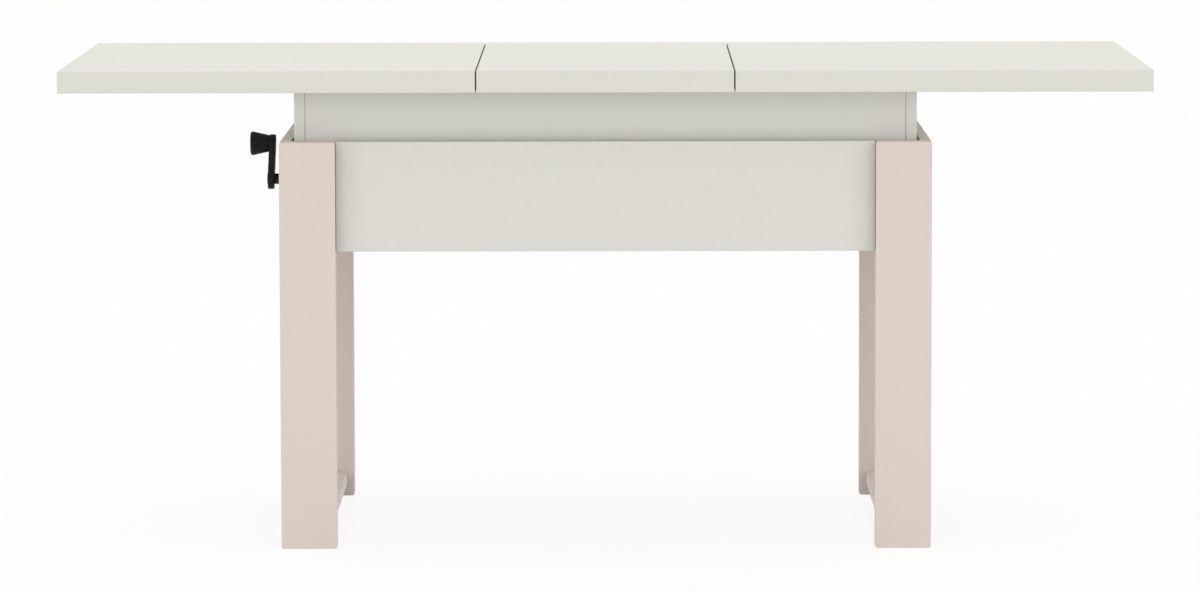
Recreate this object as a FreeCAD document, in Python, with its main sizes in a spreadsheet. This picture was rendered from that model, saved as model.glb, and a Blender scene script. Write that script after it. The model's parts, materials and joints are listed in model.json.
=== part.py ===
import FreeCAD, Part
import math
import os
import Sketcher

# Convertible coffee and dining table, in millimetres.
# The origin is on the floor under the middle of the table, +X runs along the top, -Y is the front.
# It is modelled raised part of the way, with its top drawn apart round the middle leaf.

DIMENSIONS = {
    # Top
    "top_half_length": 610,
    "leaf_length": 376.4,
    "seam_gap": 1.8,
    "top_depth": 700,
    "top_thickness": 32,
    "top_edge_chamfer": 0.6,
    # Outer frame
    "end_overhang": 130.5,
    "front_overhang": 43,
    "leg_height": 602,
    "leg_width": 82,
    "leg_thickness": 32,
    "leg_corner_radius": 3.5,
    "glide_height": 0.5,
    "glide_inset": 6,
    "board_thickness": 16,
    "board_edge_chamfer": 0.6,
    "joint_gap": 0.4,
    "apron_height": 162,
    "stretcher_width": 60,
    "stretcher_height": 20,
    "stretcher_floor_gap": 18,
    "stretcher_edge_chamfer": 1.5,
    "corner_block_length": 95,
    "corner_block_depth": 60,
    "corner_block_tip": 14,
    "corner_block_height": 24,
    # Inner box, which slides up and down in the frame
    "box_side_clearance": 5,
    "box_clearance": 3,
    "box_floor_clearance": 2,
    "lift_drop": 75,
    "lowered_gap": 1,
    "pad_width": 30,
    "pad_height": 24,
    "pad_clearance": 0.5,
    "pad_below_rim": 8,
    "side_pad_inset": 75,
    "front_pad_inset": 163.5,
    "batten_width": 60,
    "batten_thickness": 22,
    # Steel beams under the lift
    "beam_width": 50,
    "beam_height": 25,
    "beam_wall": 2,
    "beam_inset": 73,
    "cleat_leg": 28,
    "cleat_thickness": 3,
    "cleat_height": 18,
    # Scissor lift
    "rail_overhang": 37,
    "rail_height": 36,
    "rail_depth": 20,
    "rail_wall": 2.5,
    "rail_track_gap": 10,
    "pivot_inset": 149.5,
    "arm_width": 30,
    "arm_thickness": 5,
    "arm_rail_gap": 3,
    "arm_gap": 2,
    "pin_radius": 6,
    "pin_head_radius": 9,
    "pin_head_height": 2.2,
    "washer_radius": 11,
    "open_pivot_clearance": 1.1,
    "running_clearance": 0.05,
    "side_clearance": 0.3,
    "tie_radius": 7,
    "tie_offset": 120,
    "axle_radius": 7,
    "roller_clearance": 1,
    "roller_width": 14,
    "roller_inset": 1.5,
    # Screw drive
    "screw_above_middle": 3,
    "screw_radius": 8,
    "journal_radius": 6.5,
    "end_journal_radius": 6,
    "thrust_collar_radius": 9.5,
    "thrust_collar_width": 4,
    "neck_length": 29,
    "end_journal_length": 34,
    "notch_clearance": 5,
    "bush_sleeve_radius": 8,
    "bush_flange_radius": 13,
    "bush_flange_width": 3,
    "bush_barrel_radius": 10,
    "bearing_width": 24,
    "bearing_head_radius": 16,
    "bearing_foot_width": 70,
    "bearing_foot_height": 6,
    "carriage_width": 32,
    "carriage_depth": 40,
    "nut_radius": 11,
    "nut_flange_radius": 15,
    "nut_flange_width": 5,
    "nut_tail": 2,
    "nut_clearance": 1,
    # Crank
    "crank_standoff": 21.4,
    "crank_radius": 54,
    "crank_arm_thickness": 9.9,
    "crank_outer_lean": 2.7,
    "crank_inner_lean": 2.9,
    "crank_bend_low": 9,
    "crank_bend_high": 30,
    "crank_hub_radius": 15.6,
    "crank_end_radius": 13.7,
    "crank_seat_radius": 6,
    "knob_length": 28.3,
    "knob_inner_radius": 12.7,
    "knob_outer_radius": 18.2,
    "knob_chamfer": 3,
    "knob_recess_clearance": 0.5,
    "knob_pin_radius": 4,
    "knob_pin_head_radius": 8,
    "knob_pin_head_height": 1.8,
    # Runners of the top
    "track_top_gap": 2,
    "track_end_gap": 12.5,
    "track_wall_gap": 15,
    "track_width": 46,
    "groove_spacing": 22,
    "groove_floor": 4,
    "groove_lip": 5,
    "bar_flange_width": 16,
    "bar_flange_height": 13,
    "bar_neck_width": 8,
    "bar_side_clearance": 0.5,
    "bar_top_clearance": 1.7,
    "bar_neck_clearance": 1,
    "bar_inner_end": 58,
    "bar_end_clearance": 4.5,
    "slide_travel": 40,
    "bar_relief": 1,
    # One overrun for all cuts that leave the solid
    "cut_overrun": 5,
}

FRONT_REAR = (("front", -1), ("rear", 1))
LEFT_RIGHT = (("left", -1), ("right", 1))

doc = FreeCAD.newDocument("ConvertibleTable")
sheet = doc.addObject("Spreadsheet::Sheet", "Sizes")
for row, (alias, size) in enumerate(DIMENSIONS.items(), start=1):
    sheet.set(f"A{row}", alias)
    sheet.set(f"B{row}", str(size))
    sheet.setAlias(f"B{row}", alias)
doc.recompute()

pieces = []


class Size:
    """A length that knows both its value and the spreadsheet formula that gives it."""

    def __init__(self, formula, value):
        self.formula = formula
        self.value = value

    @staticmethod
    def of(other):
        return other if isinstance(other, Size) else Size(repr(other), float(other))

    def combine(self, other, sign, value):
        return Size(f"({self.formula} {sign} {Size.of(other).formula})", value)

    def __add__(self, other):
        return self.combine(other, "+", self.value + Size.of(other).value)

    def __sub__(self, other):
        return self.combine(other, "-", self.value - Size.of(other).value)

    def __mul__(self, other):
        return self.combine(other, "*", self.value * Size.of(other).value)

    def __truediv__(self, other):
        return self.combine(other, "/", self.value / Size.of(other).value)

    def __neg__(self):
        return self * -1


def root(area):
    return Size(f"sqrt({area.formula})", math.sqrt(area.value))


def size(alias):
    return Size(f"{sheet.Name}.{alias}", float(sheet.get(alias)))


def bind(item, path, length):
    item.setExpression(path, Size.of(length).formula)


def place(item, x=0, y=0, z=0, turn=None):
    """Puts an object in the table's frame; turn is a fixed rotation."""
    item.Placement = FreeCAD.Placement(FreeCAD.Vector(), turn or FreeCAD.Rotation())
    for axis, length in (("x", x), ("y", y), ("z", z)):
        bind(item, f"Placement.Base.{axis}", length)
    return item


def keep(item):
    """Marks an object as a finished piece of the table."""
    pieces.append(item)
    return item


def new_body(label):
    body = doc.addObject("PartDesign::Body", label)
    body.Label = label
    return body


def new_sketch(body, plane):
    sketch = body.newObject("Sketcher::SketchObject", f"{body.Name}_sketch")
    support = next(item for item in body.Origin.OriginFeatures if item.Role == plane)
    sketch.AttachmentSupport = [(support, "")]
    sketch.MapMode = "FlatFace"
    return sketch


def hold_point(sketch, edge, end, point):
    """Ties one end of an edge to a pair of sheet lengths."""
    for kind, length in zip(("DistanceX", "DistanceY"), point):
        length = Size.of(length)
        index = sketch.addConstraint(Sketcher.Constraint(kind, -1, 1, edge, end, length.value))
        bind(sketch, f"Constraints[{index}]", length)


def arc_between(start, end, radius):
    """Counter-clockwise arc of at most a half turn from start to end."""
    chord = end - start
    reach = math.sqrt(max(radius**2 - (chord.Length / 2) ** 2, 0))
    left = FreeCAD.Vector(-chord.y, chord.x).normalize()
    centre = (start + end) / 2 + left * reach
    angles = [math.atan2((p - centre).y, (p - centre).x) for p in (start, end)]
    if angles[1] < angles[0]:
        angles[1] += 2 * math.pi
    circle = Part.Circle(centre, FreeCAD.Vector(0, 0, 1), radius)
    return Part.ArcOfCircle(circle, *angles)


def outline(sketch, corners, arcs=None):
    """Closed outline through the corners; arcs gives the radius of the side after a corner.

    An outline with arcs runs counter-clockwise, and its arcs bulge outwards.
    """
    arcs = arcs or {}
    points = [FreeCAD.Vector(*(Size.of(length).value for length in corner)) for corner in corners]
    first = sketch.GeometryCount
    for index, point in enumerate(points):
        following = points[(index + 1) % len(points)]
        if index in arcs:
            sketch.addGeometry(arc_between(point, following, arcs[index].value), False)
        else:
            sketch.addGeometry(Part.LineSegment(point, following), False)
    for index, corner in enumerate(corners):
        edge = first + index
        following = first + (index + 1) % len(corners)
        sketch.addConstraint(Sketcher.Constraint("Coincident", edge, 2, following, 1))
        hold_point(sketch, edge, 1, corner)
    for index, radius in arcs.items():
        row = sketch.addConstraint(Sketcher.Constraint("Radius", first + index, radius.value))
        bind(sketch, f"Constraints[{row}]", radius)


def rectangle(sketch, width, height):
    """Rectangle about the sketch's origin."""
    outline(
        sketch,
        [
            (-width / 2, -height / 2),
            (width / 2, -height / 2),
            (width / 2, height / 2),
            (-width / 2, height / 2),
        ],
    )


def circle(sketch, x, y, radius):
    centre = FreeCAD.Vector(Size.of(x).value, Size.of(y).value)
    edge = sketch.addGeometry(Part.Circle(centre, FreeCAD.Vector(0, 0, 1), radius.value), False)
    hold_point(sketch, edge, 3, (x, y))
    row = sketch.addConstraint(Sketcher.Constraint("Radius", edge, radius.value))
    bind(sketch, f"Constraints[{row}]", radius)


def pad(body, sketch, length):
    """Pad to both sides of the sketch's plane."""
    feature = body.newObject("PartDesign::Pad", f"{body.Name}_pad")
    feature.Profile = sketch
    feature.SideType = "Symmetric"
    bind(feature, "Length", length)
    return feature


def cut(body, sketch):
    """Pocket through everything, to both sides of the sketch's plane."""
    feature = body.newObject("PartDesign::Pocket", f"{body.Name}_cut")
    feature.Profile = sketch
    feature.Type = "ThroughAll"
    feature.SideType = "Symmetric"
    return feature


def bore(body, plane, x, y, radius):
    sketch = new_sketch(body, plane)
    circle(sketch, x, y, radius)
    return cut(body, sketch)


def board(label, length, depth, height, edge_chamfer, **position):
    """Laminated board with broken edges, about the middle of its own block."""
    body = new_body(label)
    sketch = new_sketch(body, "XY_Plane")
    rectangle(sketch, length, depth)
    base = pad(body, sketch, height)
    chamfer = body.newObject("PartDesign::Chamfer", f"{label}_chamfer")
    chamfer.Base = (base, ["Edge1"])
    chamfer.UseAllEdges = True
    bind(chamfer, "Size", edge_chamfer)
    return keep(place(body, **position))


def turned(label, corners):
    """Piece turned about its own X axis from an outline of (x, radius) corners."""
    body = new_body(label)
    sketch = new_sketch(body, "XZ_Plane")
    outline(sketch, corners)
    feature = body.newObject("PartDesign::Revolution", f"{body.Name}_turn")
    feature.Profile = sketch
    feature.ReferenceAxis = (sketch, ["H_Axis"])
    feature.Angle = 360
    return body


def stepped(stations, bore_radius=0):
    """Corners of a stepped shaft: stations are (end of the step, its radius), from a start."""
    start, *steps = stations
    corners = [(start, bore_radius), (steps[-1][0], bore_radius)]
    ends = [start] + [end for end, radius in steps]
    for index in reversed(range(len(steps))):
        radius = steps[index][1]
        corners.append((ends[index + 1], radius))
        corners.append((ends[index], radius))
    return corners


def rod(label, radius, length):
    """Plain round rod along Y, about its own middle."""
    body = new_body(label)
    sketch = new_sketch(body, "XZ_Plane")
    circle(sketch, 0, 0, radius)
    pad(body, sketch, length)
    return body


def block(name, length, width, height):
    """Plain block with one corner on its place."""
    item = doc.addObject("Part::Box", name)
    bind(item, "Length", length)
    bind(item, "Width", width)
    bind(item, "Height", height)
    return item


def group(label, members):
    """Alike small pieces that share one node."""
    compound = doc.addObject("Part::Compound", label)
    compound.Label = label
    compound.Links = members
    return keep(compound)


ALONG_Y = FreeCAD.Rotation(FreeCAD.Vector(0, 0, 1), 90)
AGAINST_Y = FreeCAD.Rotation(FreeCAD.Vector(0, 0, 1), -90)
AGAINST_X = FreeCAD.Rotation(FreeCAD.Vector(0, 0, 1), 180)
INWARDS = {-1: ALONG_Y, 1: AGAINST_Y}

# Levels and faces that several pieces share
board_thickness = size("board_thickness")
frame_x = size("top_half_length") - size("end_overhang")
frame_y = size("top_depth") / 2 - size("front_overhang")
frame_inner_x = frame_x - board_thickness
frame_inner_y = frame_y - size("leg_thickness")
leg_inner_x = frame_x - size("leg_width")
leg_x = frame_x - size("leg_width") / 2
leg_y = frame_y - size("leg_thickness") / 2
apron_low = size("leg_height") - size("apron_height")
apron_middle = size("leg_height") - size("apron_height") / 2
beam_top = apron_low + size("beam_height")
lowered_under = size("leg_height") + size("lowered_gap")
top_under = lowered_under + size("lift_drop")
half_edge = size("leaf_length") / 2 + size("seam_gap")
box_height = lowered_under - beam_top - size("box_floor_clearance")
box_middle = top_under - box_height / 2
box_x = frame_inner_x - size("box_side_clearance")
box_inner_x = box_x - board_thickness
box_y = frame_inner_y - size("box_clearance")
box_inner_y = box_y - board_thickness
groove_ceiling = (
    size("groove_floor")
    + size("side_clearance")
    + size("bar_flange_height")
    + size("bar_top_clearance")
)
track_height = groove_ceiling + size("groove_lip")
runner_height = track_height + size("track_top_gap")
track_y = box_inner_y - size("track_wall_gap") - size("track_width") / 2
batten_top = top_under - runner_height
batten_low = batten_top - size("batten_thickness")
lower_pivot = beam_top + size("rail_height") / 2
upper_pivot = batten_low - size("rail_height") / 2
scissor_rise = upper_pivot - lower_pivot
pivot_x = box_inner_x - size("pivot_inset")
roller_x = -pivot_x
scissor_span = pivot_x * 2
arm_length = root(scissor_span * scissor_span + scissor_rise * scissor_rise)
beam_x = pivot_x - size("beam_inset")
rail_web_y = track_y - size("track_width") / 2 - size("rail_track_gap")
rail_web_inner_y = rail_web_y - size("rail_wall")
rail_lip_y = rail_web_y - size("rail_depth")
outer_arm_face_y = rail_lip_y - size("arm_rail_gap")
outer_arm_back_y = outer_arm_face_y - size("arm_thickness")
inner_arm_face_y = outer_arm_back_y - size("arm_gap")
inner_arm_back_y = inner_arm_face_y - size("arm_thickness")
screw_z = apron_middle + size("screw_above_middle")
crank_inner_x = -frame_x - size("crank_standoff")
crank_tip_x = crank_inner_x - size("crank_arm_thickness")
crank_hub_outer_x = crank_tip_x - size("crank_outer_lean")
crank_hub_inner_x = crank_inner_x - size("crank_inner_lean")


def make_top():
    for side, sign in LEFT_RIGHT:
        board(
            f"{side}_top_half",
            size("top_half_length"),
            size("top_depth"),
            size("top_thickness"),
            size("top_edge_chamfer"),
            x=(half_edge + size("top_half_length") / 2) * sign,
            z=top_under + size("top_thickness") / 2,
        )
    board(
        "middle_leaf",
        size("leaf_length"),
        size("top_depth"),
        size("top_thickness"),
        size("top_edge_chamfer"),
        z=top_under + size("top_thickness") / 2,
    )


def make_legs():
    """Plank legs on glides, and the low stretcher between the front and rear leg of a side."""
    glides = []
    leg_length = size("leg_height") - size("glide_height")
    glide_length = size("leg_width") - size("glide_inset") * 2
    glide_depth = size("leg_thickness") - size("glide_inset") * 2
    for side, side_sign in LEFT_RIGHT:
        for end, end_sign in FRONT_REAR:
            leg = make_leg(f"{end}_{side}_leg", leg_length)
            place(
                leg,
                x=leg_x * side_sign,
                y=leg_y * end_sign,
                z=size("glide_height") + leg_length / 2,
            )
            glide = block("glide", glide_length, glide_depth, size("glide_height"))
            place(
                glide,
                x=leg_x * side_sign - glide_length / 2,
                y=leg_y * end_sign - glide_depth / 2,
            )
            glides.append(glide)
        board(
            f"{side}_stretcher",
            size("stretcher_width"),
            frame_inner_y * 2,
            size("stretcher_height"),
            size("stretcher_edge_chamfer"),
            x=leg_x * side_sign,
            z=size("stretcher_floor_gap") + size("stretcher_height") / 2,
        )
    group("foot_glides", glides)


def make_leg(label, length):
    """Plank whose outline has rounded corners, seen from the front."""
    body = new_body(label)
    sketch = new_sketch(body, "XZ_Plane")
    width = size("leg_width") / 2
    height = length / 2
    radius = size("leg_corner_radius")
    corners = [
        (-width + radius, -height),
        (width - radius, -height),
        (width, -height + radius),
        (width, height - radius),
        (width - radius, height),
        (-width + radius, height),
        (-width, height - radius),
        (-width, -height + radius),
    ]
    outline(sketch, corners, {1: radius, 3: radius, 5: radius, 7: radius})
    pad(body, sketch, size("leg_thickness"))
    return keep(body)


def make_aprons():
    """Front and rear apron between the legs, flush with their backs; side aprons flush outside."""
    for end, sign in FRONT_REAR:
        board(
            f"{end}_apron",
            (leg_inner_x - size("joint_gap")) * 2,
            board_thickness,
            size("apron_height"),
            size("board_edge_chamfer"),
            y=(frame_inner_y + board_thickness / 2) * sign,
            z=apron_middle,
        )
    for side, sign in LEFT_RIGHT:
        apron = board(
            f"{side}_side_apron",
            board_thickness,
            frame_inner_y * 2,
            size("apron_height"),
            size("board_edge_chamfer"),
            x=(frame_x - board_thickness / 2) * sign,
            z=apron_middle,
        )
        if side == "left":
            height = size("screw_above_middle")
            bore(apron, "YZ_Plane", 0, height, size("bush_barrel_radius"))


def make_corner_blocks():
    """Braces low in the corners, under the lowest place of the box."""
    blocks = []
    for side_sign in (-1, 1):
        for end_sign in (-1, 1):
            body = new_body("corner_block")
            sketch = new_sketch(body, "XY_Plane")
            near_x = frame_inner_x - size("corner_block_tip")
            far_x = frame_inner_x - size("corner_block_length")
            near_y = frame_inner_y - size("corner_block_tip")
            far_y = frame_inner_y - size("corner_block_depth")
            corners = [
                (frame_inner_x, frame_inner_y),
                (far_x, frame_inner_y),
                (far_x, near_y),
                (near_x, far_y),
                (frame_inner_x, far_y),
            ]
            outline(sketch, [(x * side_sign, y * end_sign) for x, y in corners])
            pad(body, sketch, size("corner_block_height"))
            blocks.append(place(body, z=apron_low + size("corner_block_height") / 2))
    group("corner_blocks", blocks)


def make_box():
    """Inner box: the front and rear panel stand between the side panels."""
    for end, sign in FRONT_REAR:
        board(
            f"box_{end}_panel",
            (box_inner_x - size("joint_gap")) * 2,
            board_thickness,
            box_height,
            size("board_edge_chamfer"),
            y=(box_y - board_thickness / 2) * sign,
            z=box_middle,
        )
    for side, sign in LEFT_RIGHT:
        panel = board(
            f"box_{side}_panel",
            board_thickness,
            box_y * 2,
            box_height,
            size("board_edge_chamfer"),
            x=(box_x - board_thickness / 2) * sign,
            z=box_middle,
        )
        if side == "left":
            cut_shaft_notch(panel)


def cut_shaft_notch(panel):
    """Notch, open below, that straddles the crank shaft when the box is down."""
    radius = size("journal_radius") + size("notch_clearance")
    foot = -box_height / 2 - size("cut_overrun")
    shaft = screw_z - (box_middle - size("lift_drop"))
    sketch = new_sketch(panel, "YZ_Plane")
    corners = [
        (-radius, foot),
        (radius, foot),
        (radius, shaft),
        (0, shaft + radius),
        (-radius, shaft),
    ]
    outline(sketch, corners, {2: radius, 3: radius})
    cut(panel, sketch)


def make_guide_pads():
    """Glide pads inside the rim of the frame, which guide the box."""
    pads = []
    pad_low = size("leg_height") - size("pad_below_rim") - size("pad_height")
    side_thickness = frame_inner_x - box_x - size("pad_clearance")
    end_thickness = size("box_clearance") - size("pad_clearance")
    for sign_x in (-1, 1):
        for sign_y in (-1, 1):
            side_pad = block("side_pad", side_thickness, size("pad_width"), size("pad_height"))
            place(
                side_pad,
                x=(frame_inner_x - side_thickness / 2) * sign_x - side_thickness / 2,
                y=(frame_inner_y - size("side_pad_inset")) * sign_y - size("pad_width") / 2,
                z=pad_low,
            )
            end_pad = block("end_pad", size("pad_width"), end_thickness, size("pad_height"))
            place(
                end_pad,
                x=(frame_inner_x - size("front_pad_inset")) * sign_x - size("pad_width") / 2,
                y=(frame_inner_y - end_thickness / 2) * sign_y - end_thickness / 2,
                z=pad_low,
            )
            pads += [side_pad, end_pad]
    group("guide_pads", pads)


def make_beams():
    """Square-ended steel tubes across the frame, held by angle cleats; battens across the box."""
    cleats = []
    for side, side_sign in LEFT_RIGHT:
        beam = new_body(f"{side}_cross_beam")
        sketch = new_sketch(beam, "XZ_Plane")
        rectangle(sketch, size("beam_width"), size("beam_height"))
        rectangle(
            sketch,
            size("beam_width") - size("beam_wall") * 2,
            size("beam_height") - size("beam_wall") * 2,
        )
        pad(beam, sketch, frame_inner_y * 2)
        keep(place(beam, x=beam_x * side_sign, z=beam_top - size("beam_height") / 2))
        for end_sign in (-1, 1):
            cleats.append(make_cleat(side_sign, end_sign))
        board(
            f"{side}_batten",
            size("batten_width"),
            box_inner_y * 2,
            size("batten_thickness"),
            size("board_edge_chamfer"),
            x=beam_x * side_sign,
            z=batten_top - size("batten_thickness") / 2,
        )
    group("beam_cleats", cleats)


def make_cleat(side_sign, end_sign):
    body = new_body("cleat")
    sketch = new_sketch(body, "XY_Plane")
    leg = size("cleat_leg")
    thick = size("cleat_thickness")
    corners = [(0, 0), (leg, 0), (leg, thick), (thick, thick), (thick, leg), (0, leg)]
    outline(sketch, [(Size.of(x) * side_sign, Size.of(y) * -end_sign) for x, y in corners])
    pad(body, sketch, size("cleat_height"))
    return place(
        body,
        x=(beam_x + size("beam_width") / 2) * side_sign,
        y=frame_inner_y * end_sign,
        z=beam_top - size("beam_height") / 2,
    )


def make_rail(label, sign, level):
    """Channel rail, open towards the middle of the table, with a hole for its pivot pin."""
    body = new_body(label)
    half = size("rail_height") / 2
    wall = size("rail_wall")
    corners = [
        (rail_lip_y, -half),
        (rail_web_y, -half),
        (rail_web_y, half),
        (rail_lip_y, half),
        (rail_lip_y, half - wall),
        (rail_web_inner_y, half - wall),
        (rail_web_inner_y, -half + wall),
        (rail_lip_y, -half + wall),
    ]
    sketch = new_sketch(body, "YZ_Plane")
    outline(sketch, [(y * sign, z) for y, z in corners])
    pad(body, sketch, (pivot_x + size("rail_overhang")) * 2)
    bore(body, "XZ_Plane", pivot_x, 0, size("pin_radius"))
    return keep(place(body, z=level))


def make_arm(label, y, level, tilt_sign, bores):
    """Flat scissor arm that leads from its pivot towards the crank; bores are (reach, radius)."""
    body = new_body(label)
    half = size("arm_width") / 2
    sketch = new_sketch(body, "XZ_Plane")
    corners = [
        (0, -half),
        (half, 0),
        (0, half),
        (-arm_length, half),
        (-arm_length - half, 0),
        (-arm_length, -half),
    ]
    outline(sketch, corners, {0: half, 1: half, 3: half, 4: half})
    for reach, radius in bores:
        circle(sketch, -Size.of(reach), 0, radius)
    pad(body, sketch, size("arm_thickness"))
    place(body, x=pivot_x, y=y, z=level, turn=FreeCAD.Rotation(FreeCAD.Vector(0, 1, 0), 1))
    tilt = f"asin({scissor_rise.formula} / {arm_length.formula}) * {tilt_sign}"
    body.setExpression("Placement.Rotation.Angle", tilt)
    return keep(body)


def make_pin(sign, x, z, stations):
    """Pin turned about Y; its stations are distances from the table's middle plane."""
    start, *steps = stations
    body = turned("pin", stepped([-start] + [(-end, radius) for end, radius in steps]))
    return place(body, x=x, z=z, turn=INWARDS[sign])


def make_rails():
    for end, sign in FRONT_REAR:
        make_rail(f"lower_{end}_rail", sign, lower_pivot)
        make_rail(f"upper_{end}_rail", sign, upper_pivot)


def make_arms():
    """Two crossed pairs: the outer arms turn on the lower pivots, the inner ones on the upper."""
    pin = size("pin_radius")
    running_bore = pin + size("running_clearance")
    open_bore = pin + size("open_pivot_clearance")
    axle_bore = size("axle_radius") + size("running_clearance")
    half_arm = arm_length / 2
    half_thickness = size("arm_thickness") / 2
    outer_bores = [(0, running_bore), (half_arm, pin), (arm_length, pin)]
    inner_bores = [(0, running_bore), (half_arm, open_bore), (arm_length, axle_bore)]
    for end, sign in FRONT_REAR:
        outer_y = (outer_arm_face_y - half_thickness) * sign
        inner_y = (inner_arm_face_y - half_thickness) * sign
        make_arm(f"outer_{end}_arm", outer_y, lower_pivot, 1, outer_bores)
        make_arm(f"inner_{end}_arm", inner_y, upper_pivot, -1, inner_bores)


def make_pivot_pins():
    """Pins fixed in the webs of the rails, with a collar between the web and the arm."""
    pin = size("pin_radius")
    gap = size("side_clearance")
    for label, level, face, back in (
        ("lower_pivot_pins", lower_pivot, outer_arm_face_y, outer_arm_back_y),
        ("upper_pivot_pins", upper_pivot, inner_arm_face_y, inner_arm_back_y),
    ):
        stations = [
            rail_web_y,
            (rail_web_inner_y, pin),
            (face + gap, size("pin_head_radius")),
            (back - gap - size("pin_head_height"), pin),
        ]
        group(label, [make_pin(sign, pivot_x, level, stations) for sign in (-1, 1)])


def make_centre_pins():
    """Pins where the arms cross, fixed in the outer arms, with a washer behind the inner ones."""
    gap = size("side_clearance")
    rim = size("pin_head_height")
    stations = [
        outer_arm_face_y + rim,
        (outer_arm_face_y, size("pin_head_radius")),
        (inner_arm_back_y - gap, size("pin_radius")),
        (inner_arm_back_y - gap - rim, size("washer_radius")),
    ]
    level = lower_pivot + scissor_rise / 2
    group("centre_pins", [make_pin(sign, 0, level, stations) for sign in (-1, 1)])


def make_rollers():
    """Rollers in the rails: the upper ones on stub axles, the lower ones on one long axle."""
    pin = size("pin_radius")
    outer_y = rail_web_inner_y - size("roller_inset")
    inner_y = outer_y - size("roller_width")
    radius = size("rail_height") / 2 - size("rail_wall") - size("roller_clearance")
    upper_corners = stepped([0, (size("roller_width"), radius)], pin + size("running_clearance"))
    lower_corners = stepped([0, (size("roller_width"), radius)], size("axle_radius"))
    stub_stations = [
        outer_y,
        (inner_y - size("side_clearance"), pin),
        (outer_arm_face_y, size("pin_head_radius")),
        (outer_arm_back_y, pin),
    ]
    stub_axles = []
    lower_rollers = []
    for end, sign in FRONT_REAR:
        roller_place = {"x": roller_x, "y": outer_y * sign, "turn": INWARDS[sign]}
        upper_roller = turned(f"upper_{end}_roller", upper_corners)
        keep(place(upper_roller, z=upper_pivot, **roller_place))
        stub_axles.append(make_pin(sign, roller_x, upper_pivot, stub_stations))
        lower_roller = turned("lower_roller", lower_corners)
        lower_rollers.append(place(lower_roller, z=lower_pivot, **roller_place))
    group("stub_axles", stub_axles)
    group("lower_rollers", lower_rollers)
    lower_axle = rod("lower_axle", size("axle_radius"), outer_y * 2)
    keep(place(lower_axle, x=roller_x, z=lower_pivot))


def make_ties():
    """Rods that join the two arms of each pair, near their pivots."""
    run = size("tie_offset") / arm_length
    x = pivot_x - scissor_span * run
    for label, reach, z in (
        ("outer_arm_tie", outer_arm_back_y, lower_pivot + scissor_rise * run),
        ("inner_arm_tie", inner_arm_back_y, upper_pivot - scissor_rise * run),
    ):
        keep(place(rod(label, size("tie_radius"), reach * 2), x=x, z=z))


def make_shaft_bush():
    """Flanged bush in the left side apron, with a sleeve out to the crank's hub."""
    stations = [
        crank_hub_inner_x + size("side_clearance"),
        (-frame_x - size("bush_flange_width"), size("bush_sleeve_radius")),
        (-frame_x, size("bush_flange_radius")),
        (-frame_inner_x, size("bush_barrel_radius")),
    ]
    running_bore = size("journal_radius") + size("running_clearance")
    keep(place(turned("shaft_bush", stepped(stations, running_bore)), z=screw_z))


def make_lead_screw():
    """Screw from the crank's hub to the bearing block, with a collar that takes its thrust."""
    collar_start = -frame_inner_x + size("side_clearance")
    collar_end = collar_start + size("thrust_collar_width")
    thread_start = collar_end + size("neck_length")
    block_end = -beam_x + size("bearing_width") / 2
    thread_end = block_end - size("end_journal_length")
    stations = [
        crank_hub_outer_x,
        (crank_hub_inner_x, size("crank_seat_radius")),
        (collar_start, size("journal_radius")),
        (collar_end, size("thrust_collar_radius")),
        (thread_start, size("journal_radius")),
        (thread_end, size("screw_radius")),
        (block_end, size("end_journal_radius")),
    ]
    keep(place(turned("lead_screw", stepped(stations)), z=screw_z))


def make_bearing_block():
    """Block on the left cross beam that holds the far end of the screw."""
    body = new_body("screw_bearing_block")
    sketch = new_sketch(body, "YZ_Plane")
    crown = size("bearing_head_radius")
    foot = size("bearing_foot_width") / 2
    floor = beam_top - screw_z
    step = floor + size("bearing_foot_height")
    corners = [
        (-foot, floor),
        (foot, floor),
        (foot, step),
        (crown, step),
        (crown, 0),
        (0, crown),
        (-crown, 0),
        (-crown, step),
        (-foot, step),
    ]
    outline(sketch, corners, {4: crown, 5: crown})
    circle(sketch, 0, 0, size("end_journal_radius") + size("running_clearance"))
    pad(body, sketch, size("bearing_width"))
    keep(place(body, x=-beam_x, z=screw_z))


def make_nut():
    """Nut in a carriage on the lower axle, which the turning screw draws along."""
    carriage = new_body("nut_carriage")
    sketch = new_sketch(carriage, "XZ_Plane")
    half = size("carriage_width") / 2
    screw_rise = screw_z - lower_pivot
    crest = screw_rise + size("nut_flange_radius")
    corners = [(0, -half), (half, 0), (half, crest), (-half, crest), (-half, 0)]
    outline(sketch, corners, {0: half, 4: half})
    circle(sketch, 0, 0, size("axle_radius") + size("running_clearance"))
    pad(carriage, sketch, size("carriage_depth"))
    bore(carriage, "YZ_Plane", 0, screw_rise, size("nut_radius"))
    keep(place(carriage, x=roller_x, z=lower_pivot))

    stations = [
        -half - size("nut_flange_width"),
        (-half, size("nut_flange_radius")),
        (half + size("nut_tail"), size("nut_radius")),
    ]
    nut_bore = size("screw_radius") + size("nut_clearance")
    keep(place(turned("drive_nut", stepped(stations, nut_bore)), x=roller_x, z=screw_z))


def make_crank_arm():
    """Arm on the end of the lead screw; it leans out from its tip towards its hub."""
    arm = new_body("crank_arm")
    sketch = new_sketch(arm, "YZ_Plane")
    hub = size("crank_hub_radius")
    tip = size("crank_end_radius")
    reach = size("crank_radius")
    corners = [(hub, 0), (tip, reach), (0, reach + tip), (-tip, reach), (-hub, 0), (0, -hub)]
    outline(sketch, corners, {1: tip, 2: tip, 4: hub, 5: hub})
    half = (crank_inner_x - crank_hub_outer_x) / 2
    pad(arm, sketch, half * 2)
    cut_lean(arm, half)
    bore(arm, "YZ_Plane", 0, 0, size("crank_seat_radius"))
    bore(arm, "YZ_Plane", 0, reach, size("knob_pin_radius"))
    keep(place(arm, x=crank_inner_x - half, z=screw_z))


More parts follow.
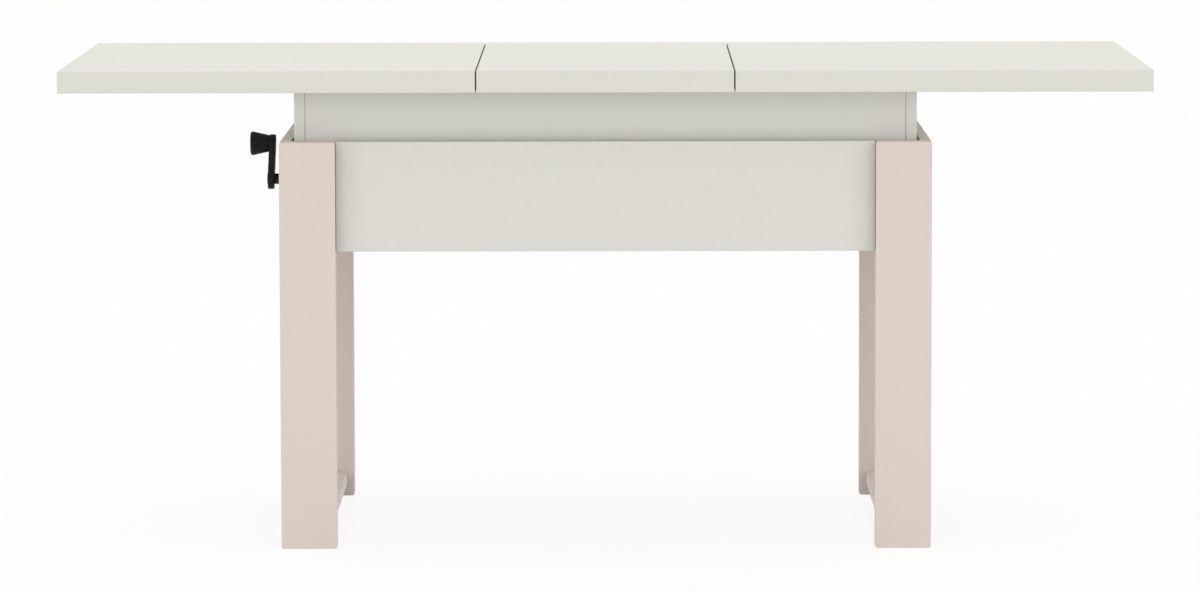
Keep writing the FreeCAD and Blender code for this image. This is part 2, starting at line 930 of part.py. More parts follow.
def cut_lean(arm, half):
    """Trims the blank so that the arm leans out from its tip towards its hub."""
    over = size("cut_overrun")
    shoulder = size("crank_radius") - size("crank_end_radius")
    top = size("crank_radius") + size("crank_end_radius") + over
    low = -size("crank_hub_radius") - over
    outer_tip = size("crank_outer_lean") - half
    inner_hub = half - size("crank_inner_lean")
    sketch = new_sketch(arm, "XZ_Plane")
    corners = [
        (-half, 0),
        (outer_tip, shoulder),
        (outer_tip, top),
        (-half - over, top),
        (-half - over, 0),
    ]
    outline(sketch, corners)
    cut(arm, sketch)
    sketch = new_sketch(arm, "XZ_Plane")
    corners = [
        (half, size("crank_bend_high")),
        (inner_hub, size("crank_bend_low")),
        (inner_hub, low),
        (half + over, low),
        (half + over, size("crank_bend_high")),
    ]
    outline(sketch, corners)
    cut(arm, sketch)


def make_crank_knob():
    """Tapered knob, and the pin in the crank arm that it turns on."""
    length = size("knob_length")
    outer = size("knob_outer_radius")
    corner = size("knob_chamfer")
    recess = size("knob_pin_head_radius") + size("knob_recess_clearance")
    seat = length - size("knob_pin_head_height") - size("side_clearance") * 2
    pin_bore = size("knob_pin_radius") + size("running_clearance")
    corners = [
        (0, pin_bore),
        (seat, pin_bore),
        (seat, recess),
        (length, recess),
        (length, outer - corner),
        (length - corner, outer),
        (0, size("knob_inner_radius")),
    ]
    knob = turned("crank_knob", corners)
    knob_place = {"z": screw_z + size("crank_radius"), "turn": AGAINST_X}
    keep(place(knob, x=crank_tip_x - size("side_clearance"), **knob_place))

    head_start = seat + size("side_clearance") * 2
    pin_stations = [
        -size("crank_arm_thickness"),
        (head_start, size("knob_pin_radius")),
        (head_start + size("knob_pin_head_height"), size("knob_pin_head_radius")),
    ]
    keep(place(turned("knob_pin", stepped(pin_stations)), x=crank_tip_x, **knob_place))


def make_runners():
    """Twin-groove tracks on the battens, and the bars under the top halves that run in them."""
    spacing = size("groove_spacing")
    width = size("track_width") / 2
    channel = size("bar_flange_width") / 2 + size("bar_side_clearance")
    mouth = size("bar_neck_width") / 2 + size("bar_neck_clearance")
    floor = size("groove_floor")
    for end, end_sign in FRONT_REAR:
        track = new_body(f"{end}_runner_track")
        corners = [(-width, 0), (width, 0), (width, track_height)]
        for centre in (spacing / 2, -spacing / 2):
            corners += [
                (centre + mouth, track_height),
                (centre + mouth, groove_ceiling),
                (centre + channel, groove_ceiling),
                (centre + channel, floor),
                (centre - channel, floor),
                (centre - channel, groove_ceiling),
                (centre - mouth, groove_ceiling),
                (centre - mouth, track_height),
            ]
        corners.append((-width, track_height))
        sketch = new_sketch(track, "YZ_Plane")
        outline(sketch, [(Size.of(y), z) for y, z in corners])
        pad(track, sketch, (box_inner_x - size("track_end_gap")) * 2)
        keep(place(track, y=track_y * end_sign, z=batten_top))
        for side, side_sign in LEFT_RIGHT:
            groove_y = track_y - spacing / 2 * side_sign
            make_bar(f"{side}_{end}_runner_bar", side_sign, groove_y * end_sign)


def make_bar(label, side_sign, y):
    """T-section bar under a top half; its inner stretch lies a little lower, under the leaf."""
    flange = size("bar_flange_width") / 2
    neck = size("bar_neck_width") / 2
    low = size("groove_floor") + size("side_clearance")
    shoulder = low + size("bar_flange_height")
    crest = runner_height
    outer_end = box_inner_x - size("bar_end_clearance") - size("slide_travel")
    length = outer_end - size("bar_inner_end")
    body = new_body(label)
    sketch = new_sketch(body, "YZ_Plane")
    corners = [
        (-flange, low),
        (flange, low),
        (flange, shoulder),
        (neck, shoulder),
        (neck, crest),
        (-neck, crest),
        (-neck, shoulder),
        (-flange, shoulder),
    ]
    outline(sketch, corners)
    pad(body, sketch, length)
    sketch = new_sketch(body, "XZ_Plane")
    inner = -length / 2 - size("cut_overrun")
    relief_end = half_edge - size("bar_inner_end") - length / 2
    relief = [
        (inner, crest - size("bar_relief")),
        (relief_end, crest - size("bar_relief")),
        (relief_end, crest + size("cut_overrun")),
        (inner, crest + size("cut_overrun")),
    ]
    outline(sketch, [(x * side_sign, z) for x, z in relief])
    cut(body, sketch)
    middle = size("bar_inner_end") + length / 2
    keep(place(body, x=middle * side_sign, y=y, z=batten_top))


def write_pieces():
    doc.recompute()
    failed = [item.Name for item in doc.Objects if {"Invalid", "Error"} & set(item.State)]
    for piece in pieces:
        if piece.Shape.isNull() or not piece.Shape.isValid():
            failed.append(piece.Label)
    if failed:
        raise RuntimeError("failed objects: " + ", ".join(failed))
    os.makedirs("parts", exist_ok=True)
    for piece in pieces:
        piece.Shape.exportStep(f"parts/{piece.Label}.step")


make_top()
make_legs()
make_aprons()
make_corner_blocks()
make_box()
make_guide_pads()
make_beams()
make_rails()
make_arms()
make_pivot_pins()
make_centre_pins()
make_rollers()
make_ties()
make_shaft_bush()
make_lead_screw()
make_bearing_block()
make_nut()
make_crank_arm()
make_crank_knob()
make_runners()
write_pieces()
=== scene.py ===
import json
import math

import bmesh
import bpy
from mathutils import Matrix, Vector


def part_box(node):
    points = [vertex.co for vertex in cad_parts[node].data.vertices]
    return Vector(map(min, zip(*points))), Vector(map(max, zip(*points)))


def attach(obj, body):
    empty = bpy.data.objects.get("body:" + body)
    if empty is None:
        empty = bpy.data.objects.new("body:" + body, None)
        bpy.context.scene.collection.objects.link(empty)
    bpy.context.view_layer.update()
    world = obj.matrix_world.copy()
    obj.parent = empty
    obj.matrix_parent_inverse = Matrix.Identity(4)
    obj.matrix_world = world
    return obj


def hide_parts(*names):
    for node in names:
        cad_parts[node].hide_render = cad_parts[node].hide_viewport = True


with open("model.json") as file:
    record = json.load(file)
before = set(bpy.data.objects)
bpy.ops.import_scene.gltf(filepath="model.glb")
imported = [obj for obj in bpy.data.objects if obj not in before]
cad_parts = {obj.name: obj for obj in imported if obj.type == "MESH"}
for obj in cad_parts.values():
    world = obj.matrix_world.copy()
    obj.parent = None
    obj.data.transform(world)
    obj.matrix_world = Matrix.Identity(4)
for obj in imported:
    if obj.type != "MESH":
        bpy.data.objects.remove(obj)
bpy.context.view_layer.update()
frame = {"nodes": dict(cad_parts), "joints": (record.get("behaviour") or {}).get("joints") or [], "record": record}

MM = 0.001
SAME_POINT = 0.001
FRONT_REAR = (-1, 1)
LEFT_RIGHT = (-1, 1)
LEFTWARDS = (-1, 0, 0)
RIGHTWARDS = (1, 0, 0)
FORWARDS = (0, -1, 0)
UP = (0, 0, 1)
DOWN = (0, 0, -1)
WHITE = (1, 1, 1, 1)


# Places read from the frame, in mm

def span(node):
    """Lowest and highest corner of a node at rest."""
    low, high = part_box(node)
    return low / MM, high / MM


def middle(node):
    """Centre of a node's box at rest."""
    low, high = span(node)
    return (low + high) / 2


def pivot(joint):
    """Point on a joint's axis at rest."""
    return Vector(next(row["pos_m"] for row in frame["joints"] if row["name"] == joint)) / MM


SCREW_LEVEL = pivot("crank_turn").z
KNOB_LEVEL = pivot("knob_spin").z
CRANK_REACH = KNOB_LEVEL - SCREW_LEVEL


# Camera and studio

def make_camera():
    """Long lens a little above the table, at the photograph's place."""
    data = bpy.data.cameras.new("camera")
    data.sensor_width = 36
    data.lens = 178.05
    data.clip_end = 100
    camera = bpy.data.objects.new("camera", data)
    across = 17.74 * MM
    away = -8991.75 * MM
    height = 1265.9 * MM
    yaw = -0.0030
    pitch = 0.1021
    roll = -0.0021
    camera.matrix_world = (
        Matrix.Translation((across, away, height))
        @ Matrix.Rotation(-yaw, 4, "Z")
        @ Matrix.Rotation(math.pi / 2 - pitch, 4, "X")
        @ Matrix.Rotation(roll, 4, "Z")
    )
    bpy.context.scene.collection.objects.link(camera)
    bpy.context.scene.camera = camera


def seen_ray(tree):
    """Factor that is 1 for rays that show the backdrop: camera, glossy and transmission rays."""
    path = tree.nodes.new("ShaderNodeLightPath")
    factor = path.outputs["Is Camera Ray"]
    for name in ("Is Glossy Ray", "Is Transmission Ray"):
        most = tree.nodes.new("ShaderNodeMath")
        most.operation = "MAXIMUM"
        tree.links.new(factor, most.inputs[0])
        tree.links.new(path.outputs[name], most.inputs[1])
        factor = most.outputs[0]
    return factor


def make_world():
    """Even soft dome, with a plain white backdrop to look at."""
    dome_tint = (1, 0.995, 0.985, 1)
    dome_strength = 0.935
    world = bpy.data.worlds.new("studio")
    bpy.context.scene.world = world
    world.use_nodes = True
    tree = world.node_tree
    tree.nodes.clear()
    dome = tree.nodes.new("ShaderNodeBackground")
    dome.inputs["Color"].default_value = dome_tint
    dome.inputs["Strength"].default_value = dome_strength
    white = tree.nodes.new("ShaderNodeBackground")
    white.inputs["Color"].default_value = WHITE
    white.inputs["Strength"].default_value = 1
    mix = tree.nodes.new("ShaderNodeMixShader")
    output = tree.nodes.new("ShaderNodeOutputWorld")
    tree.links.new(seen_ray(tree), mix.inputs[0])
    tree.links.new(dome.outputs[0], mix.inputs[1])
    tree.links.new(white.outputs[0], mix.inputs[2])
    tree.links.new(mix.outputs[0], output.inputs["Surface"])


def floor_finish():
    """Pale floor that is shown as white, with a share of the table's shadow."""
    tone = (0.87, 0.87, 0.86, 1)
    shadow_share = 0.12
    material = bpy.data.materials.new("floor")
    material.use_nodes = True
    tree = material.node_tree
    tree.nodes.clear()
    pale = tree.nodes.new("ShaderNodeBsdfDiffuse")
    pale.inputs["Color"].default_value = tone
    white = tree.nodes.new("ShaderNodeEmission")
    white.inputs["Strength"].default_value = 1
    bright = tree.nodes.new("ShaderNodeBsdfDiffuse")
    bright.inputs["Color"].default_value = WHITE
    shown = tree.nodes.new("ShaderNodeMixShader")
    shown.inputs[0].default_value = shadow_share
    mix = tree.nodes.new("ShaderNodeMixShader")
    output = tree.nodes.new("ShaderNodeOutputMaterial")
    tree.links.new(white.outputs[0], shown.inputs[1])
    tree.links.new(bright.outputs[0], shown.inputs[2])
    tree.links.new(seen_ray(tree), mix.inputs[0])
    tree.links.new(pale.outputs[0], mix.inputs[1])
    tree.links.new(shown.outputs[0], mix.inputs[2])
    tree.links.new(mix.outputs[0], output.inputs["Surface"])
    return material


def make_floor():
    """Wide flat floor, a hair below the glides."""
    half = 20000 * MM
    low = -0.2 * MM
    mesh = bpy.data.meshes.new("floor")
    corners = [(-half, -half, low), (half, -half, low), (half, half, low), (-half, half, low)]
    mesh.from_pydata(corners, [], [(0, 1, 2, 3)])
    mesh.materials.append(floor_finish())
    floor = bpy.data.objects.new("floor", mesh)
    bpy.context.scene.collection.objects.link(floor)


def make_lamps():
    """Large soft lamp at each side, a little in front."""
    width = 3000 * MM
    height = 2000 * MM
    watts = 15
    aside = 5500 * MM
    in_front = 1500 * MM
    above = 1200 * MM
    target = Vector((0, 0, 450 * MM))
    for side in LEFT_RIGHT:
        data = bpy.data.lights.new("softbox", "AREA")
        data.shape = "RECTANGLE"
        data.size = width
        data.size_y = height
        data.energy = watts
        lamp = bpy.data.objects.new("softbox", data)
        lamp.location = (side * aside, -in_front, above)
        lamp.rotation_euler = (target - lamp.location).to_track_quat("-Z", "Y").to_euler()
        bpy.context.scene.collection.objects.link(lamp)


# Materials

def linear(*levels):
    """Colour given as 0 to 255 screen levels."""
    shares = [level / 255 for level in levels]
    return tuple(s / 12.92 if s <= 0.04045 else ((s + 0.055) / 1.055) ** 2.4 for s in shares) + (1,)


class Finish:
    """A principled material with nodes that follow the object's own place."""

    def __init__(self, name, **sockets):
        self.material = bpy.data.materials.new(name)
        self.material.use_nodes = True
        self.tree = self.material.node_tree
        self.shader = self.tree.nodes["Principled BSDF"]
        for socket, value in sockets.items():
            self.shader.inputs[socket.replace("_", " ")].default_value = value
        self.place = self.tree.nodes.new("ShaderNodeTexCoord").outputs["Object"]

    def node(self, kind, inputs, **settings):
        node = self.tree.nodes.new(kind)
        for setting, value in settings.items():
            setattr(node, setting, value)
        for socket, value in inputs.items():
            if isinstance(value, bpy.types.NodeSocket):
                self.tree.links.new(value, node.inputs[socket])
            else:
                node.inputs[socket].default_value = value
        return node

    def stretched(self, scale):
        """Object coordinates with another scale along each axis."""
        return self.node("ShaderNodeMapping", {"Vector": self.place, "Scale": scale}).outputs[0]

    def noise(self, scale, detail=2.0, place=None, distortion=0.0):
        inputs = {"Vector": place or self.place, "Scale": scale, "Detail": detail, "Distortion": distortion}
        return self.node("ShaderNodeTexNoise", inputs).outputs["Fac"]

    def colours(self, factor, *stops, dust=0.0, reach=0.0):
        """Base colour from a factor through (position, colour) stops.

        Painted shade darkens the colour in corners and seams, by ambient occlusion as far from them as its reach.
        """
        ramp = self.node("ShaderNodeValToRGB", {"Fac": factor})
        elements = ramp.color_ramp.elements
        while len(elements) < len(stops):
            elements.new(0.5)
        for element, (position, colour) in zip(elements, stops):
            element.position = position
            element.color = colour
        colour = ramp.outputs["Color"]
        if dust:
            # Painted shade: ambient occlusion within the reach darkens the base colour in corners and seams.
            occlusion = self.node("ShaderNodeAmbientOcclusion", {"Distance": reach}, samples=12)
            inputs = {"Value": occlusion.outputs["AO"], "To Min": 1 - dust}
            shade_factor = self.node("ShaderNodeMapRange", inputs).outputs["Result"]
            inputs = {"Vector": colour, "Scale": shade_factor}
            colour = self.node("ShaderNodeVectorMath", inputs, operation="SCALE").outputs["Vector"]
        self.tree.links.new(colour, self.shader.inputs["Base Color"])

    def two_tones(self, factor, dark, light, **corners):
        """Base colour that runs between two tones in screen levels."""
        self.colours(factor, (0.3, linear(*dark)), (0.7, linear(*light)), **corners)

    def roughness(self, factor, low, high):
        inputs = {"Value": factor, "To Min": low, "To Max": high}
        spread = self.node("ShaderNodeMapRange", inputs)
        self.tree.links.new(spread.outputs["Result"], self.shader.inputs["Roughness"])

    def bump(self, factor, height, strength):
        inputs = {"Height": factor, "Distance": height, "Strength": strength}
        bump = self.node("ShaderNodeBump", inputs)
        self.tree.links.new(bump.outputs["Normal"], self.shader.inputs["Normal"])


def laminate(name, tone, dust=0.0, reach=0.0):
    """Matt melamine: an even tone with a fine pearl in it and a faint orange-peel surface, with optional painted
    shade in its corners and seams.
    """
    finish = Finish(name, Specular_IOR_Level=0.35)
    pearl_depth = 2
    dark = [level - pearl_depth for level in tone]
    finish.two_tones(finish.noise(scale=260, detail=6), dark, tone, dust=dust, reach=reach)
    finish.roughness(finish.noise(scale=35, detail=3), low=0.46, high=0.58)
    finish.bump(finish.noise(scale=1400), height=0.05 * MM, strength=0.25)
    return finish.material


def planed_wood(name):
    """Pine with its grain along Y."""
    finish = Finish(name, Specular_IOR_Level=0.3)
    along = finish.stretched((60, 2.2, 60))
    rings = finish.noise(scale=2.4, detail=5, place=along, distortion=0.6)
    finish.colours(
        rings,
        (0.25, linear(196, 160, 112)),
        (0.5, linear(222, 192, 146)),
        (0.75, linear(208, 174, 126)),
    )
    finish.roughness(rings, low=0.55, high=0.75)
    finish.bump(finish.noise(scale=9, detail=4, place=along), height=0.2 * MM, strength=0.4)
    return finish.material


def powder_coat(name, light, dark):
    """Satin paint with a fine orange-peel surface."""
    finish = Finish(name, Specular_IOR_Level=0.4)
    finish.two_tones(finish.noise(scale=120, detail=4), dark, light)
    finish.roughness(finish.noise(scale=300), low=0.42, high=0.6)
    finish.bump(finish.noise(scale=1100, detail=3), height=0.1 * MM, strength=0.35)
    return finish.material


def plated_metal(name, light, dark, grain=(1, 1, 1), smooth=0.25, rough=0.42):
    """Plain metal with the faint cloud of its plating, or drawn lines along the grain."""
    finish = Finish(name, Metallic=1.0)
    place = finish.stretched(grain)
    finish.two_tones(finish.noise(scale=140, detail=5, place=place), dark, light)
    finish.roughness(finish.noise(scale=240, detail=3, place=place), low=smooth, high=rough)
    finish.bump(finish.noise(scale=700, place=place), height=0.02 * MM, strength=0.2)
    return finish.material


def moulded_plastic(name, light, dark, smooth, rough, gloss=0.45):
    """Moulded plastic with a fine eroded surface."""
    finish = Finish(name, Specular_IOR_Level=gloss)
    finish.two_tones(finish.noise(scale=200, detail=4), dark, light)
    finish.roughness(finish.noise(scale=160, detail=3), low=smooth, high=rough)
    finish.bump(finish.noise(scale=1800), height=0.05 * MM, strength=0.3)
    return finish.material


def make_materials():
    """Finish of each slot of the record."""
    return {
        # The top, frame and box laminates carry painted shade: ambient occlusion darkens them in their seams and
        # corners.
        "top_laminate": laminate("top_laminate", (233, 232, 224), dust=0.75, reach=8 * MM),
        "frame_laminate": laminate("frame_laminate", (233, 232, 225), dust=0.55, reach=40 * MM),
        "box_laminate": laminate("box_laminate", (234, 234, 228), dust=0.2, reach=45 * MM),
        "leg_laminate": laminate("leg_laminate", (234, 221, 213)),
        "raw_wood": planed_wood("raw_wood"),
        "black_steel": powder_coat("black_steel", (52, 52, 53), (42, 42, 43)),
        "zinc_steel": plated_metal("zinc_steel", (206, 207, 208), (186, 188, 190)),
        "track_aluminium": plated_metal(
            "track_aluminium", (226, 227, 228), (208, 209, 211), grain=(0.04, 1, 1)
        ),
        "white_nylon": moulded_plastic(
            "white_nylon", (238, 237, 230), (230, 229, 221), smooth=0.38, rough=0.5
        ),
        "glide_plastic": moulded_plastic(
            "glide_plastic", (150, 141, 132), (136, 127, 119), smooth=0.5, rough=0.65
        ),
        "nut_brass": plated_metal("nut_brass", (214, 180, 106), (196, 160, 88), smooth=0.22, rough=0.38),
        "black_plastic": moulded_plastic(
            "black_plastic", (26, 26, 26), (20, 20, 20), smooth=0.42, rough=0.56, gloss=0.2
        ),
    }


# Softened edges on the CAD nodes, by slot: width of the rounding and its segments

ROUNDED = {
    "top_laminate": (0.25 * MM, 2),
    "frame_laminate": (0.35 * MM, 2),
    "box_laminate": (0.35 * MM, 2),
    "leg_laminate": (0.5 * MM, 3),
    "raw_wood": (0.5 * MM, 2),
    "black_steel": (0.4 * MM, 2),
    "track_aluminium": (0.25 * MM, 2),
    "white_nylon": (0.5 * MM, 2),
    "glide_plastic": (0.15 * MM, 2),
}


def weld(node, name):
    """Joins the points that lie on one another."""
    modifier = node.modifiers.new(name, "WELD")
    modifier.merge_threshold = SAME_POINT * MM


def round_edges(node, width, segments):
    """Rounds a node's edges, and closes the faces that the rounding shrinks to nothing."""
    least_turn = math.radians(25)
    weld(node, "joined")
    bevel = node.modifiers.new("rounded", "BEVEL")
    bevel.width = width
    bevel.segments = segments
    bevel.limit_method = "ANGLE"
    bevel.angle_limit = least_turn
    bevel.use_clamp_overlap = True
    weld(node, "closed")
    normals = node.modifiers.new("normals", "WEIGHTED_NORMAL")
    normals.keep_sharp = False


def dress_nodes(materials):
    """Gives every CAD node its slot's material and a fine rounding along its edges."""
    for row in frame["record"]["subparts"]:
        node = frame["nodes"][row["node"]]
        slot = row["material_slot"]
        node.data.materials.clear()
        node.data.materials.append(materials[slot])
        if slot in ROUNDED:
            round_edges(node, *ROUNDED[slot])


# Mesh helpers, in mm

def finish_piece(mesh, name, body, slot, materials, smooth=True):
    """Makes a piece from a bmesh in mm; it rides a body and takes a slot's finish."""
    bmesh.ops.remove_doubles(mesh, verts=mesh.verts, dist=SAME_POINT)
    bmesh.ops.scale(mesh, vec=(MM, MM, MM), verts=mesh.verts)
    bmesh.ops.recalc_face_normals(mesh, faces=mesh.faces)
    data = bpy.data.meshes.new(name)
    mesh.to_mesh(data)
    mesh.free()
    piece = bpy.data.objects.new(name, data)
    bpy.context.scene.collection.objects.link(piece)
    data.materials.append(materials[slot])
    for polygon in data.polygons:
        polygon.use_smooth = smooth
    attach(piece, body)
    return piece


def standing(point, axis):
    """Place at a point whose Z axis looks along the given axis."""
    turn = Vector(UP).rotation_difference(Vector(axis).normalized())
    return Matrix.Translation(point) @ turn.to_matrix().to_4x4()


def ring(mesh, place, radius, height, segments):
    """Circle of points about the place's Z axis, or one point where the radius is zero."""
    points = []
    for step in range(segments if radius else 1):
        angle = 2 * math.pi * step / segments
        point = Vector((radius * math.cos(angle), radius * math.sin(angle), height))
        points.append(mesh.verts.new(place @ point))
    return points


def join_rings(mesh, rings):
    """Skin over rings of points; a ring may be a single point."""
    for lower, upper in zip(rings, rings[1:]):
        count = max(len(lower), len(upper))
        for step in range(count):
            following = (step + 1) % count
            corners = [
                lower[step % len(lower)],
                lower[following % len(lower)],
                upper[following % len(upper)],
                upper[step % len(upper)],
            ]
            mesh.faces.new(list(dict.fromkeys(corners)))


def add_lathe(mesh, profile, place, segments=48):
    """Turns (radius, height) points about the place's Z axis."""
    join_rings(mesh, [ring(mesh, place, radius, height, segments) for radius, height in profile])


def arc(centre, radius, start, end, steps):
    """Points of a rounded corner in (radius, height), angles in degrees."""
    points = []
    for step in range(steps + 1):
        angle = math.radians(start + (end - start) * step / steps)
        points.append((centre[0] + radius * math.cos(angle), centre[1] + radius * math.sin(angle)))
    return points


def add_screw(mesh, place, radius=4, height=2.2):
    """Pan head with a cross recess; it stands on the place, which looks along its Z axis."""
    segments = 48
    radius_shares = (0.0, 0.1, 0.17, 0.24, 0.34, 0.44, 0.54, 0.62, 0.74, 0.86, 0.95, 1.0)
    rim_share = 0.62
    cross_length_share = 0.55
    cross_width_share = 0.15
    cross_depth_share = 0.6
    rings = []
    for share in radius_shares:
        dome_share = rim_share + (1 - rim_share) * math.sqrt(1 - share * share)
        points = ring(mesh, Matrix(), share * radius, dome_share * height, segments)
        for point in points:
            across, along = sorted((abs(point.co.x) / radius, abs(point.co.y) / radius))
            if across < cross_width_share and along < cross_length_share:
                point.co.z -= cross_depth_share * height
            point.co = place @ point.co
        rings.append(points)
    rings.append(ring(mesh, place, radius, 0, segments))
    rings.append(ring(mesh, place, 0, 0, segments))
    join_rings(mesh, rings)


def screws(name, body, materials, places, **sizes):
    """One piece of alike screw heads at (point, axis) places."""
    mesh = bmesh.new()
    for point, axis in places:
        add_screw(mesh, standing(point, axis), **sizes)
    return finish_piece(mesh, name, body, "zinc_steel", materials)


def quarters(point, axis):
    """A place of the right rear quarter of the table, mirrored into all four."""
    mirrors = [Vector((side, end, 1)) for side in LEFT_RIGHT for end in FRONT_REAR]
    return [(Vector(point) * mirror, Vector(axis) * mirror) for mirror in mirrors]


# Fasteners

def make_cleat_screws(materials):
    """Screws through both flanges of the angle cleats, into the aprons and the beams."""
    cleat_thickness = 3
    cleat = span("beam_cleats")[1]
    level = middle("right_cross_beam").z
    beam_face = span("right_cross_beam")[1].x + cleat_thickness
    apron_face = cleat.y - cleat_thickness
    half_flange = (cleat.x - beam_face) / 2
    on_apron = (beam_face + half_flange, apron_face, level)
    on_beam = (beam_face, apron_face - half_flange, level)
    screws("cleat_screws", "base", materials, quarters(on_apron, FORWARDS))
    screws("cleat_beam_screws", "base", materials, quarters(on_beam, RIGHTWARDS))


def make_brace_screws(materials):
    """Two screws in the slanted face of each corner block."""
    tip = 14
    length = 95
    depth = 60
    screw_shares = (0.28, 0.72)
    corner = span("corner_blocks")[1]
    level = middle("corner_blocks").z
    near = Vector((corner.x - tip, corner.y - depth, level))
    far = Vector((corner.x - length, corner.y - tip, level))
    run = far - near
    inwards = (-run.y, run.x, 0)
    places = [place for share in screw_shares for place in quarters(near.lerp(far, share), inwards)]
    screws("brace_screws", "base", materials, places, radius=4.5)


def make_rail_screws(materials):
    """Screws inside the rails: down into the beams, and up into the battens."""
    wall = 2.5
    y = pivot("upper_rear_roll").y
    into_beam = (middle("right_cross_beam").x, y, span("lower_rear_rail")[0].z + wall)
    into_batten = (middle("right_batten").x, y, span("upper_rear_rail")[1].z - wall)
    screws("lower_rail_screws", "base", materials, quarters(into_beam, UP))
    screws("upper_rail_screws", "lift_box", materials, quarters(into_batten, DOWN))


def make_bearing_screws(materials):
    """Screws in the feet of the bearing block, into the beam."""
    foot_height = 6
    foot_reach = 26
    block = middle("screw_bearing_block")
    level = span("screw_bearing_block")[0].z + foot_height
    feet = [((block.x, end * foot_reach, level), UP) for end in FRONT_REAR]
    screws("bearing_block_screws", "base", materials, feet, radius=4.5)


def make_nut_screws(materials):
    """Four small screws round the flange of the nut."""
    circle_radius = 13
    face = span("drive_nut")[0].x
    flange = []
    for turn in (45, 135, 225, 315):
        y = circle_radius * math.cos(math.radians(turn))
        z = circle_radius * math.sin(math.radians(turn))
        flange.append(((face, y, SCREW_LEVEL + z), LEFTWARDS))
    screws("nut_screws", "nut_carriage", materials, flange, radius=1.7, height=1.2)


def make_clips(materials):
    """Retaining rings on the pivot pins, behind the arms."""
    inner = 6.02
    outer = 9.2
    thickness = 1.1
    soft = 0.25
    gap = 0.4
    profile = [
        (inner, 0),
        (outer - soft, 0),
        (outer, soft),
        (outer, thickness - soft),
        (outer - soft, thickness),
        (inner, thickness),
        (inner, 0),
    ]
    for name, body, joint, arm in (
        ("lower_pin_clips", "base", "outer_arm_swing", "outer_rear_arm"),
        ("upper_pin_clips", "lift_box", "inner_arm_swing", "inner_rear_arm"),
    ):
        centre = pivot(joint)
        y = span(arm)[0].y - gap
        mesh = bmesh.new()
        for end in FRONT_REAR:
            add_lathe(mesh, profile, standing((centre.x, end * y, centre.z), (0, -end, 0)))
        finish_piece(mesh, name, body, "black_steel", materials, smooth=False)


def make_rivets(materials):
    """Peened ends of the stub axles, on the backs of the outer arms."""
    round_radius = 2.3
    crown_radius = 5.9
    height = 2.4
    rim = arc((crown_radius, 0), round_radius, start=0, end=80, steps=6)
    profile = [(0, 0)] + rim + [(0, height)]
    centre = pivot("upper_rear_roll")
    y = span("outer_rear_arm")[0].y
    mesh = bmesh.new()
    for end in FRONT_REAR:
        add_lathe(mesh, profile, standing((centre.x, end * y, centre.z), (0, -end, 0)))
    finish_piece(mesh, "stub_axle_rivets", "outer_arms", "zinc_steel", materials)


# Screw drive

def make_thread(materials):
    """Left-hand trapezoid thread on the lead screw: turning the crank clockwise raises the top."""
    plain_start = 33.5
    plain_end = 34.2
    pitch = 2
    root = 7.95
    crest = 8.25
    half_root = 0.72
    half_crest = 0.34
    per_turn = 28
    start = span("left_side_apron")[1].x + plain_start
    length = span("lead_screw")[1].x - plain_end - start
    steps = int(length / pitch * per_turn)
    section = [(-half_root, root), (-half_crest, crest), (half_crest, crest), (half_root, root)]
    mesh = bmesh.new()
    rows = []
    for step in range(steps + 1):
        run = half_root + (length - 2 * half_root) * step / steps
        angle = -2 * math.pi * run / pitch
        fade = min(1, step / per_turn, (steps - step) / per_turn)
        row = []
        for offset, radius in section:
            faded = root + (radius - root) * fade
            y = faded * math.cos(angle)
            z = faded * math.sin(angle)
            row.append(mesh.verts.new((start + run + offset, y, SCREW_LEVEL + z)))
        rows.append(row)
    join_rings(mesh, rows)
    for row in (rows[0], rows[-1]):
        mesh.faces.new(row)
    finish_piece(mesh, "screw_thread", "crank", "zinc_steel", materials, smooth=False)


# Crank

HUB_RADIUS = 15.6
TIP_RADIUS = 13.7


def crank_outline(inset, count=40):
    """Outline of the arm in (y, z) from its hub, drawn in by an inset."""
    lean = math.asin((HUB_RADIUS - TIP_RADIUS) / CRANK_REACH)
    tip = TIP_RADIUS - inset
    hub = HUB_RADIUS - inset
    points = []
    for step in range(count + 1):
        angle = lean + (math.pi - 2 * lean) * step / count
        points.append((tip * math.cos(angle), CRANK_REACH + tip * math.sin(angle)))
    for step in range(count + 1):
        angle = math.pi - lean + (math.pi + 2 * lean) * step / count
        points.append((hub * math.cos(angle), hub * math.sin(angle)))
    return points


def clamp(share):
    return min(max(share, 0), 1)


def ease(share):
    """Soft S-curve from 0 to 1."""
    share = clamp(share)
    return share * share * (3 - 2 * share)


def make_crank_arm(materials):
    """Cast arm with rounded edges that leans out from its tip towards its hub."""
    outer_lean = 2.7
    inner_lean = 2.9
    bend_low = 9
    bend_high = 30
    edge_radius = 1.6
    edge_steps = 6
    low, high = span("crank_arm")
    shoulder = CRANK_REACH - TIP_RADIUS

    def outer_face(z):
        return low.x + outer_lean * clamp(z / shoulder)

    def inner_face(z):
        return high.x - inner_lean * (1 - ease((z - bend_low) / (bend_high - bend_low)))

    edge = []
    for step in range(edge_steps + 1):
        angle = math.pi / 2 * step / edge_steps
        edge.append((edge_radius * (1 - math.sin(angle)), edge_radius * (1 - math.cos(angle))))
    rows = [(outer_face, inset, depth) for inset, depth in edge]
    rows += [(inner_face, inset, -depth) for inset, depth in reversed(edge)]
    mesh = bmesh.new()
    rings = []
    for face, inset, depth in rows:
        outline = crank_outline(inset)
        rings.append([mesh.verts.new((face(z) + depth, y, SCREW_LEVEL + z)) for y, z in outline])
    join_rings(mesh, rings)
    for outline in (rings[0], rings[-1]):
        mesh.faces.new(outline)
    arm = finish_piece(mesh, "cast_crank_arm", "crank", "black_plastic", materials)
    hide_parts("crank_arm")


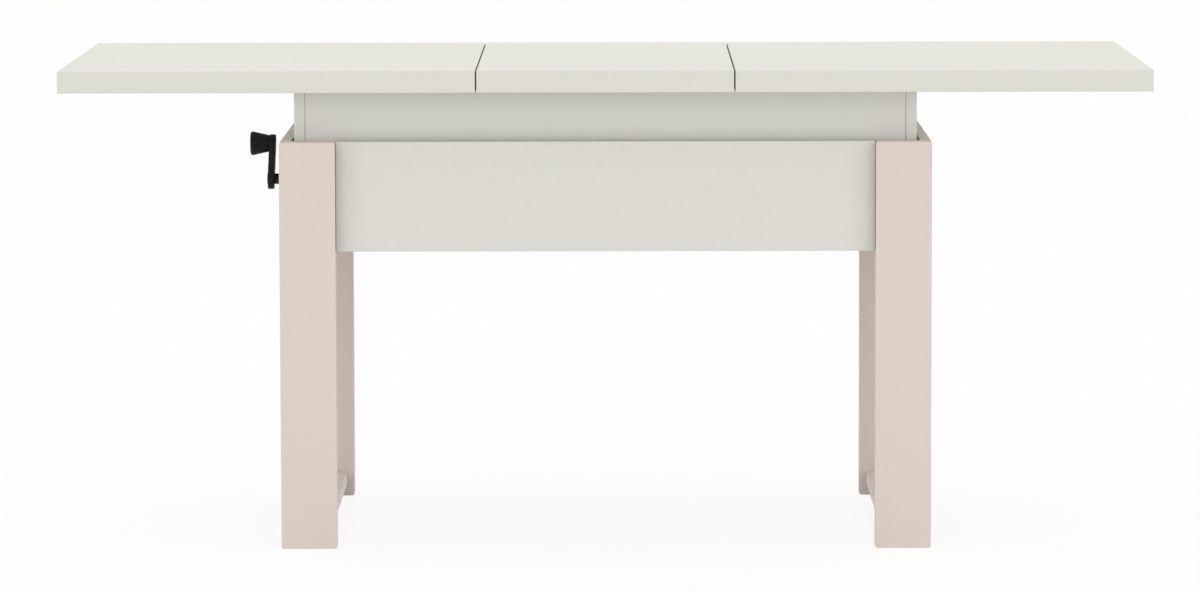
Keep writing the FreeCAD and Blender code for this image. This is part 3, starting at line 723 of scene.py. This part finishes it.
def make_grip(materials):
    """Tapered knob with a soft rim, bored for its pin and recessed for the pin's head."""
    bore = 4.1
    neck = 12.7
    neck_round = 0.4
    rim = 18.2
    rim_round = 3.4
    taper = -12
    recess = 8.7
    recess_round = 0.7
    recess_floor = 8.6
    recess_depth = 2.4
    low, high = span("crank_knob")
    length = high.x - low.x
    neck_centre = (neck - neck_round, neck_round)
    rim_centre = (rim - rim_round, length - rim_round)
    recess_centre = (recess + recess_round, length - recess_round)
    profile = [(bore, 0)]
    profile += arc(neck_centre, neck_round, start=-90, end=taper, steps=4)
    profile += arc(rim_centre, rim_round, start=taper, end=90, steps=12)
    profile += arc(recess_centre, recess_round, start=90, end=180, steps=4)
    profile += [(recess_floor, length - recess_depth), (bore, length - recess_depth), (bore, 0)]
    mesh = bmesh.new()
    add_lathe(mesh, profile, standing((high.x, 0, KNOB_LEVEL), LEFTWARDS), segments=72)
    grip = finish_piece(mesh, "tapered_grip", "crank_knob", "black_plastic", materials)
    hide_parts("crank_knob")


def make_crank_screw(materials):
    """Low socket screw in the hub, on the end of the shaft."""
    head = 8.2
    head_round = 0.8
    socket = 2.4
    socket_floor = 0.15
    socket_bevel = 0.2
    profile = [(0, 0)]
    profile += arc((head - head_round, 0), head_round, start=0, end=80, steps=5)
    profile += [
        (socket + socket_bevel, head_round),
        (socket, head_round - socket_bevel),
        (socket, socket_floor),
        (0, socket_floor),
    ]
    face = span("crank_arm")[0].x
    mesh = bmesh.new()
    add_lathe(mesh, profile, standing((face, 0, SCREW_LEVEL), LEFTWARDS))
    finish_piece(mesh, "crank_screw", "crank", "black_steel", materials)


make_camera()
make_world()
make_floor()
make_lamps()
materials = make_materials()
dress_nodes(materials)
make_cleat_screws(materials)
make_brace_screws(materials)
make_rail_screws(materials)
make_bearing_screws(materials)
make_nut_screws(materials)
make_clips(materials)
make_rivets(materials)
make_thread(materials)
make_crank_arm(materials)
make_grip(materials)
make_crank_screw(materials)

bpy.context.scene.view_settings.view_transform = "Standard"
